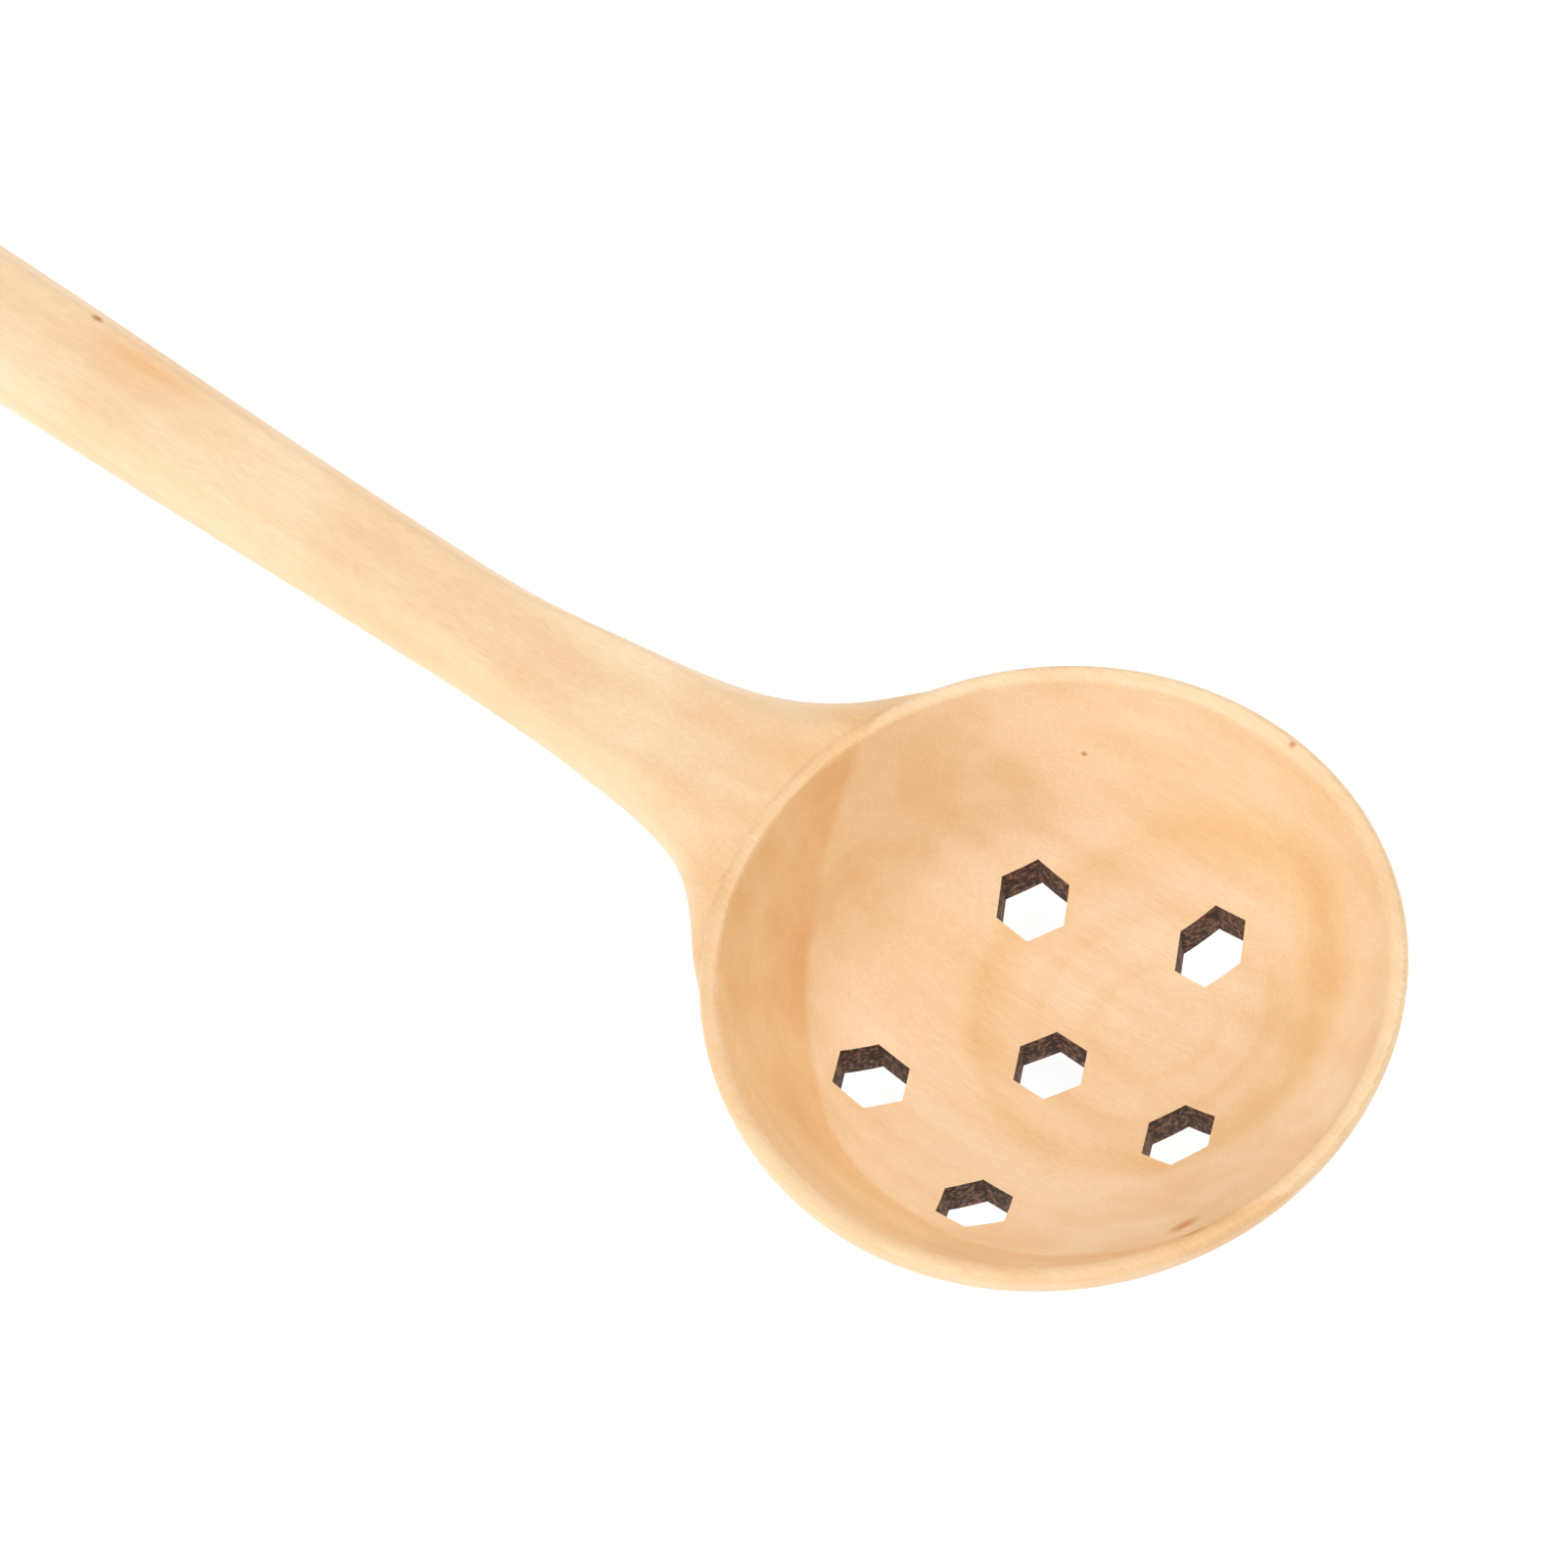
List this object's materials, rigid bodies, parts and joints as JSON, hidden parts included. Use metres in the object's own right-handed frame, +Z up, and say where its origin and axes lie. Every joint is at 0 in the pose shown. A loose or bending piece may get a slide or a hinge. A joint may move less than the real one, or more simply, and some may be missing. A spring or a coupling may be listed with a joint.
{
  "type": "slotted spoon",
  "caption": "One-piece wooden spoon with a deep round bowl pierced by hexagonal drain holes and a rounded handle with a planed top.",
  "frame": {"origin": "centre of the small sanded flat under the bowl that the spoon rests on", "axes": "+X from the handle to the tip of the bowl, +Z up out of the bowl with the rim level, +Y to the left looking towards the tip"},
  "size_m": [0.2305, 0.0706, 0.0273],
  "materials": {
    "wood": "satin lacquer"
  },
  "bodies": {
    "root": {"spoon": "wood"}
  },
  "joints": []
}
